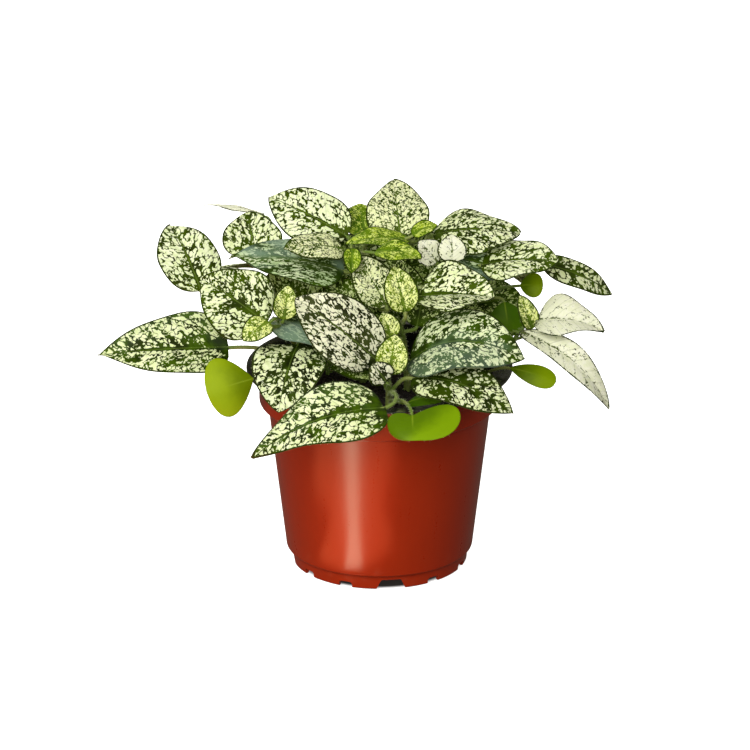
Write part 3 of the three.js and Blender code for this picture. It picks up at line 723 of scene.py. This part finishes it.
# the marbling: how much each pattern adds or takes where cream and green meet, and its scale beside a spot's
marbling = {
    "slant": 0.35, "apart": 9.7, "warp": (1.3, 1.3, 0), "warpScale": 1.1, "spots": 0.42, "specks": 0.3,
    "speckScale": 1.9, "drift": 1.25, "driftScale": 0.3, "gaps": 0.16, "worms": 0.5, "wormScale": 0.75,
    "veins": 0.16, "rib": 0.6, "margin": 0.8, "stalkEnd": 0.4, "least": 0.34, "soft": 0.03,
}

# the teal-grey one is a painted sheen laid over the leaves' colour
leafGreens = {"rib": (120, 146, 60), "margin": (34, 46, 8), "haze": (132, 156, 138), "under": (150, 170, 104)}
seedGreens = {"rib": (160, 180, 50), "margin": (70, 94, 4), "under": (150, 168, 70)}
leafGloss = {"Specular IOR Level": 0.14, "Specular Tint": (1, 0.92, 0.5, 1)}
stalkGreens = {"light": (108, 134, 36), "deep": (72, 100, 22), "pale": (136, 144, 72)}
hairColours = {"light": (214, 220, 178), "green": (168, 184, 120)}


def tints(colours):
    return {name: tint(*colour) for name, colour in colours.items()}


def leafSkin(look):
    *colours, cover, spot, rib, extras = leafLooks[look]
    green, deep, cream, shade = (tint(*colour) for colour in colours)
    p, m, fixed = {**commonLook, **extras}, marbling, tints(leafGreens)

    def skin(board):
        mix, noise = board.mix, board.noise
        along, across, number = board.attribute("bladeSpot")
        share, margin, side = board.attribute("bladeShare")
        away = abs(across)
        vein = abs(board.attribute("sideVein")[0].fraction() - 0.5) * 2  # 1 on a side vein
        flat = board.vector((along - away * m["slant"]) * p["stretch"], across, number * m["apart"])
        warp = {"Vector": flat, "Scale": m["warpScale"], "Detail": 2}
        warp = board.add("ShaderNodeTexNoise", {}, warp, out="Color")
        place = board.vectorMaths("MULTIPLY_ADD", {0: warp, 1: m["warp"], 2: flat})
        spots = board.cells(place, 1 / spot, out="Color").parts()[0]
        specks = board.cells(place, m["speckScale"] / spot, out="Color").parts()[1]
        gaps = board.cells(place, 1 / spot, "DISTANCE_TO_EDGE").rise(0.02, 0.14)
        drift = noise(flat, m["driftScale"] / spot)
        worms = abs(noise(place, m["wormScale"] / spot, 1, 0.4) - 0.5).rise(0.02, 0.09)  # winding lines
        ribWidth = rib * (1.1 - share) ** 1.5
        # the level is over 0 where the blade is cream
        level = (spots - 0.5) * m["spots"] + (specks - 0.5) * m["specks"] + (drift - 0.5) * m["drift"]
        level = level + cover - m["least"] - (1 - gaps) * m["gaps"] - (1 - worms) * m["worms"]
        level = level - vein.rise(0.6, 1) * m["veins"] * (1 - away.rise(1.5, 9))
        level = level - (1 - (away / ribWidth).rise(0.4, 1.6)) * m["rib"]
        level = level - (1 - margin.rise(0.4, 0.9)) * m["margin"]
        level = level - (1 - share.rise(0.02, 0.12)) * m["stalkEnd"]
        centre = (1 - away.rise(0.1, 0.4)) * (1 - share.rise(0.5, 1)) * 0.3
        dark = mix(noise(flat, 0.16).rise(0.35, 0.65), green, deep)
        dark = mix(centre, dark, fixed["rib"])
        dark = mix(1 - margin.rise(0.35, 0.7), dark, fixed["margin"])
        light = mix(noise(flat, 0.5).rise(0.3, 0.7), cream, shade)
        light = mix((1 - share.rise(0.1, 0.5)) * 0.6, light, shade)
        light = mix(vein.rise(0.88, 1) * 0.3, light, green)
        face = mix(level.rise(-m["soft"], m["soft"]), dark, light)
        haze = (noise(flat, 0.09, 1) + across * 0.02).rise(0.42, 0.62)  # painted sheen, mostly on one half of the blade
        face = mix(haze * p["veil"], face, fixed["haze"])
        relief = noise(flat, 1.1, 3) * 0.6 - vein.rise(0.8, 1) * 0.5 + noise(flat, 6) * 0.2
        return {
            "Base Color": mix(side, mix(0.5, face, fixed["under"]), face),
            "Roughness": p["rough"] + (1 - side) * 0.2 + noise(flat, 1) * 0.14,
            "Normal": board.bump(relief, 0.45, 0.00025),
        }
    return paint("leaf_" + look, leafGloss, skin)


def seedLeafSkin(look):
    near, far, rough, paintedShadeSide = seedLooks[look]
    fixed = tints(seedGreens)

    def skin(board):
        along, across, number = board.attribute("bladeSpot")
        share, margin, side = board.attribute("bladeShare")
        place = board.vector(along, across, number * marbling["apart"])
        cloud = board.noise(place, 0.12, 3)
        # from the near green to the far one, darker on one side of the blade as painted shade
        bright = (share + (cloud - 0.5) * 0.8 - (across + 6) * paintedShadeSide).rise(0.1, 0.9)
        centre = (1 - abs(across).rise(0.1, 0.5)) * (1 - share.rise(0.2, 0.7)) * 0.3
        colour = board.mix(bright, tint(*near), tint(*far))
        colour = board.mix(centre, colour, fixed["rib"])
        colour = board.mix((1 - margin.rise(0.1, 0.5)) * 0.3, colour, fixed["margin"])
        return {
            "Base Color": board.mix((1 - side) * 0.4, colour, fixed["under"]),
            "Roughness": rough + cloud * 0.12,
            "Normal": board.bump(board.noise(place, 0.8, 3), 0.3, 0.0002),
        }
    return paint("leaf_" + look, leafGloss, skin)


def stalkSkin(board):
    place, greens = board.here(), tints(stalkGreens)
    streak = board.noise(place, 340, 3)
    colour = board.mix(streak, greens["light"], greens["deep"])
    return {
        "Base Color": board.mix(board.noise(place, 60).rise(0.35, 0.7), colour, greens["pale"]),
        "Roughness": 0.5 + streak * 0.2,
        "Normal": board.bump(streak, 0.5, 0.0002),
    }


def hairSkin(board):
    place, colours = board.here(), tints(hairColours)
    return {"Base Color": board.mix(board.noise(place, 90), colours["light"], colours["green"]),
            "Roughness": 0.5 + board.noise(place, 500) * 0.2}


leafMaterials = {look: leafSkin(look) for look in leafLooks}
leafMaterials.update({look: seedLeafSkin(look) for look in seedLooks})
stalkMaterial = paint("stalk", {}, stalkSkin)
hairMaterial = paint("hair", {}, hairSkin)

blade = {
    "rows": 44, "columns": 20, "coarse": 0.35, "fullWidth": 40, "thick": 0.45, "thin": 0.14, "narrow": 0.14,
    "curl": 0.16, "wave": 0.035, "waves": 1.6, "waveShift": 2, "veins": 8, "veinSlant": 0.75,
    "quilt": 0.28, "quiltStart": 2.5, "groove": 0.3, "grooveWidth": 0.7, "reliefWidth": 24, "seedRelief": 0.3,
}

stalk = {
    "rootDepth": 16, "foot": 1.5, "radius": 1.55, "tipRadius": 1.05, "leafStalk": 0.85, "fineStalk": 0.75,
    "smallLeaf": 16, "sides": 12, "stemSteps": 16, "steps": 10, "out": 0.25, "bend": (0.3, 0.35),
    "seedBend": (0.15, 0.2), "under": 0.8, "rib": (0.7, 0.12), "ribFrom": 0.04, "ribEnd": 0.8, "ribSteps": 14,
    "smallRib": 0.6, "ribGap": 0.3,
    "hair": {"Density": 1.1e6, "Length": 0.0009, "Width": 0.00005, "Lean": 0.5, "Seed": 3},
}


# how a blade widens from its stalk and narrows to its tip; two more figures give it lobes beside the stalk:
# how far they reach back, and how much the one on the right outgrows the other
outlines = {"oval": (0.5, 0.76), "seed": (0.62, 0.42)}


def unit(vector):
    return vector / np.linalg.norm(vector)


class Leaf:
    # a leaf of the plan: the same blade as the CAD's, as functions of the share along it and across it
    def __init__(self, plan):
        self.look, self.share, start, end, self.width, face, self.bow, fold, *rest = plan
        self.seed = self.look in seedLooks
        self.rise, self.fall, *lobes = rest[0] if rest else outlines["seed" if self.seed else "oval"]
        self.lobe, self.lean = lobes or (0, 0)
        self.start, end, face = (np.array(p, float) for p in (start, end, face))
        self.length = np.linalg.norm(end - self.start)
        self.along = unit(end - self.start)
        self.up = unit(face - self.along * (face @ self.along))
        self.side = np.cross(self.along, self.up)
        self.fold = math.radians(fold)

    def half(self, t):
        rise, fall = self.rise, self.fall
        widest = rise / (rise + fall)
        half = self.width / 2 * (t / widest) ** rise * ((1 - t) / (1 - widest)) ** fall
        return np.maximum(half, blade["narrow"])

    def normal(self, t):
        normals = self.up - self.along * (4 * self.bow * (1 - 2 * t))[..., None]
        return normals / np.linalg.norm(normals, axis=-1, keepdims=True)

    def point(self, t, u, relief=0.0):
        t, u = np.broadcast_arrays(np.asarray(t, float), np.asarray(u, float))
        half = self.half(t)
        phase = self.start[0] + np.where(u > 0, blade["waveShift"], 0)
        ripple = np.sin(2 * math.pi * blade["waves"] * t + phase)
        lift = np.abs(u) * half * math.sin(self.fold) - blade["curl"] * half * u * u + relief
        if not self.seed:
            lift = lift + blade["wave"] * self.width * ripple * u * u
        rise = 4 * self.bow * self.length * t * (1 - t)
        back = self.lobe * (u * u - self.lean * u) * (1 - t) * half / (self.width / 2)
        out = half * (u - self.lean * u * u) * math.cos(self.fold)
        return (self.start + self.along * (self.length * (t - back))[..., None] + self.up * rise[..., None]
                + self.side * out[..., None] + self.normal(t) * np.asarray(lift)[..., None])

    def mesh(self, number):
        # rows of points of the upper face, then of the lower one, with what the material reads at each
        size = min(1, blade["coarse"] + self.width / blade["fullWidth"])
        rows, columns = round(blade["rows"] * size), 2 * round(blade["columns"] * size / 2)
        step = np.linspace(0, 1, rows + 1)
        t = (step + (1 - np.cos(math.pi * step)) / 2) / 2
        u = np.sin(math.pi / 2 * np.linspace(-1, 1, columns + 1))
        t, u = np.meshgrid(t, u, indexing="ij")
        half = self.half(t)
        away, along = np.abs(u) * half, t * self.length
        vein = (along - blade["veinSlant"] * away) / self.length * blade["veins"]
        inside = (1 - u ** 4) * np.minimum(1, away / blade["quiltStart"])
        relief = blade["quilt"] * (np.sin(math.pi * (vein - 0.5)) ** 2 - 0.5) * inside
        relief = relief - blade["groove"] * np.exp(-(away / blade["grooveWidth"]) ** 2)
        if self.seed:
            relief = relief * blade["seedRelief"]
        relief = relief * min(1, self.width / blade["reliefWidth"])
        top = self.point(t, u, relief)
        thick = (blade["thin"] + (blade["thick"] - blade["thin"]) * (1 - u * u))[..., None]
        under = top - self.normal(t) * thick
        across = columns + 1
        count = top.shape[0] * across
        faces = []
        for i in range(rows):
            for j in range(columns):
                a = i * across + j
                face = (a, a + 1, a + 1 + across, a + across)
                faces += [face, tuple(count + k for k in reversed(face))]
            for a, b in ((i * across, (i + 1) * across), ((i + 1) * across + columns, i * across + columns)):
                faces.append((a, b, count + b, count + a))
        for j in range(columns):
            for a, b in ((j + 1, j), (rows * across + j, rows * across + j + 1)):
                faces.append((a, b, count + b, count + a))
        spot = np.stack([along, u * half, np.full_like(t, number)], -1).reshape(-1, 3)
        edge = (half - away).ravel()
        share = [np.stack([t.ravel(), edge, np.full(count, side)], -1) for side in (1.0, 0.0)]
        return {
            "points": np.concatenate([top.reshape(-1, 3), under.reshape(-1, 3)]), "faces": faces,
            "bladeSpot": np.concatenate([spot, spot]), "bladeShare": np.concatenate(share),
            "sideVein": np.tile(vein.ravel(), 2), "fuzz": np.tile((edge < 0.02) * 1.0, 2),
        }


def bladeMesh(name, leaves, number):
    # all the blades of a stem as one mesh, with a material slot for each look
    sheets = [leaf.mesh(number + i) for i, leaf in enumerate(leaves)]
    looks = sorted({leaf.look for leaf in leaves})
    points, faces, slots = [], [], []
    for leaf, sheet in zip(leaves, sheets):
        first = sum(len(p) for p in points)
        faces += [[i + first for i in face] for face in sheet["faces"]]
        slots += [looks.index(leaf.look)] * len(sheet["faces"])
        points.append(sheet["points"])
    mesh = bpy.data.meshes.new(name)
    mesh.from_pydata(np.concatenate(points) * mm, [], faces)
    for look in looks:
        mesh.materials.append(leafMaterials[look])
    mesh.polygons.foreach_set("material_index", slots)
    for label in ("bladeSpot", "bladeShare", "sideVein", "fuzz"):
        values = np.concatenate([sheet[label] for sheet in sheets])
        kind = ("FLOAT_VECTOR", "vector") if values.ndim > 1 else ("FLOAT", "value")
        note(mesh, label, values.ravel(), *kind)
    return mesh


def bezier(points, steps):
    # points along a Bezier curve with the given control points
    shares = np.linspace(0, 1, steps + 1)[:, None]
    rows = [np.repeat(np.array(p, float)[None], steps + 1, 0) for p in points]
    while len(rows) > 1:
        rows = [a * (1 - shares) + b * shares for a, b in zip(rows, rows[1:])]
    return rows[0]


def stemControls(foot, top):
    low = soilBed["top"] + stalk["foot"]
    return [np.array(p, float) for p in ((*foot, low), (*foot, (low + top[2]) / 2), top)]


def leafStalk(controls, leaf):
    # from the stem up and out, on under the blade, and along its midrib to a fine end
    share = leaf.share
    start = (1 - share) ** 2 * controls[0] + 2 * share * (1 - share) * controls[1] + share ** 2 * controls[2]
    neck = leaf.start - leaf.up * stalk["under"]
    span = np.linalg.norm(neck - start)
    out = unit((neck - start) * (1, 1, 0)) * stalk["out"] * span
    rise, entry = stalk["seedBend"] if leaf.seed else stalk["bend"]
    bend = [start, start + out + (0, 0, rise * span), neck - leaf.along * entry * span, neck]
    path = bezier(bend, stalk["steps"])
    small = leaf.width < stalk["smallLeaf"]
    girth = np.full(len(path), stalk["leafStalk"] * (stalk["fineStalk"] if small or leaf.seed else 1))
    shares = np.linspace(stalk["ribFrom"], stalk["ribEnd"], stalk["ribSteps"])
    thick = np.linspace(*stalk["rib"], stalk["ribSteps"]) * (stalk["smallRib"] if small else 1)
    below = stalk["ribGap"] + blade["thick"] + thick[:, None] * 0.5
    rib = leaf.point(shares, 0.0) - leaf.normal(shares) * below
    return np.concatenate([path, rib]), np.concatenate([girth, thick])


def stalkMesh(name, lines):
    # the middle lines as edges, each point with its girth and how hairy it is
    points, edges, girths = [], [], []
    for path, girth in lines:
        first = len(points)
        points += [tuple(p) for p in path * mm]
        edges += [(first + i, first + i + 1) for i in range(len(path) - 1)]
        girths += list(girth * mm)
    mesh = bpy.data.meshes.new(name)
    mesh.from_pydata(points, edges, [])
    note(mesh, "girth", girths)
    fuzz = [1.0 if g > 0.0004 and p[2] > soilBed["top"] * mm else 0.0 for g, p in zip(girths, points)]
    note(mesh, "fuzz", fuzz)
    return mesh


def stalkTree():
    board, inlet = newTree("stalks", "Sides")
    line = board.add("GeometryNodeMeshToCurve", {}, {"Mesh": inlet["Geometry"]})
    ring = board.add("GeometryNodeCurvePrimitiveCircle", {}, {"Resolution": inlet["Sides"], "Radius": 1.0})
    tube = board.add("GeometryNodeCurveToMesh", {}, {
        "Curve": line, "Profile Curve": ring, "Scale": board.noted("girth"), "Fill Caps": True})
    return endTree(board, inlet, tube)


def hairTree():
    board, inlet = newTree("hairs", "Density", "Length", "Width", "Lean", "Seed")
    points = scatter(board, inlet, "fuzz")
    facing = Wire(board, points.socket.node.outputs["Rotation"])
    hair = board.add("GeometryNodeMeshCone", {}, {
        "Vertices": 3, "Radius Top": 0.0, "Radius Bottom": inlet["Width"], "Depth": inlet["Length"]})
    lean = board.randomVector((-1, -1, -1), (1, 1, 1), seed=5)
    lean = board.vectorMaths("SCALE", {0: lean, "Scale": inlet["Lean"]})
    turned = board.add("FunctionNodeRotateRotation", {"rotation_space": "LOCAL"}, {
        "Rotation": facing, "Rotate By": board.add("FunctionNodeEulerToRotation", {}, {"Euler": lean})})
    long = board.add("FunctionNodeRandomValue", {"data_type": "FLOAT"}, {2: 0.5, 3: 1.2, "Seed": 6}, out=1)
    placed = board.add("GeometryNodeInstanceOnPoints", {}, {
        "Points": points, "Instance": hair, "Rotation": turned, "Scale": board.vector(1.0, 1.0, long)})
    return endTree(board, inlet, placed)


def makeLeafyStem(name, first, trees):
    # first is the number of its first leaf, which sets the marbling
    foot, top, plans = stems[name]
    leaves, controls = [Leaf(plan) for plan in plans], stemControls(foot, top)
    root = controls[0] - (0, 0, stalk["foot"] + stalk["rootDepth"])
    main = np.concatenate([[root], bezier(controls, stalk["stemSteps"])])
    lines = [(main, np.linspace(stalk["radius"], stalk["tipRadius"], len(main)))]
    lines += [leafStalk(controls, leaf) for leaf in leaves]
    blades = put(name + "_blades", bladeMesh(name + "_blades", leaves, first))
    guide = put(name + "_lines", stalkMesh(name + "_lines", lines), smooth=False)
    sizes = {"Sides": stalk["sides"], "Material": stalkMaterial}
    tubes = put(name + "_stalks", grow(guide, trees["stalks"], sizes))
    bpy.data.objects.remove(guide)
    growth = joinPieces(name, [blades, tubes])
    sizes = {**stalk["hair"], "Material": hairMaterial}
    hairs = put(name + "_hairs", grow(growth, trees["hairs"], sizes), smooth=False)
    piece = joinPieces("foliage_" + name, [growth, hairs])
    faceOutwards(piece.data)
    handIn(piece, "leafy_stem_" + name)


makeSoil(stems)
print("the soil is made")
stemTrees = {"stalks": stalkTree(), "hairs": hairTree()}
for i, name in enumerate(stems):
    makeLeafyStem(name, 10 * i, stemTrees)
print("the leafy stems are made")
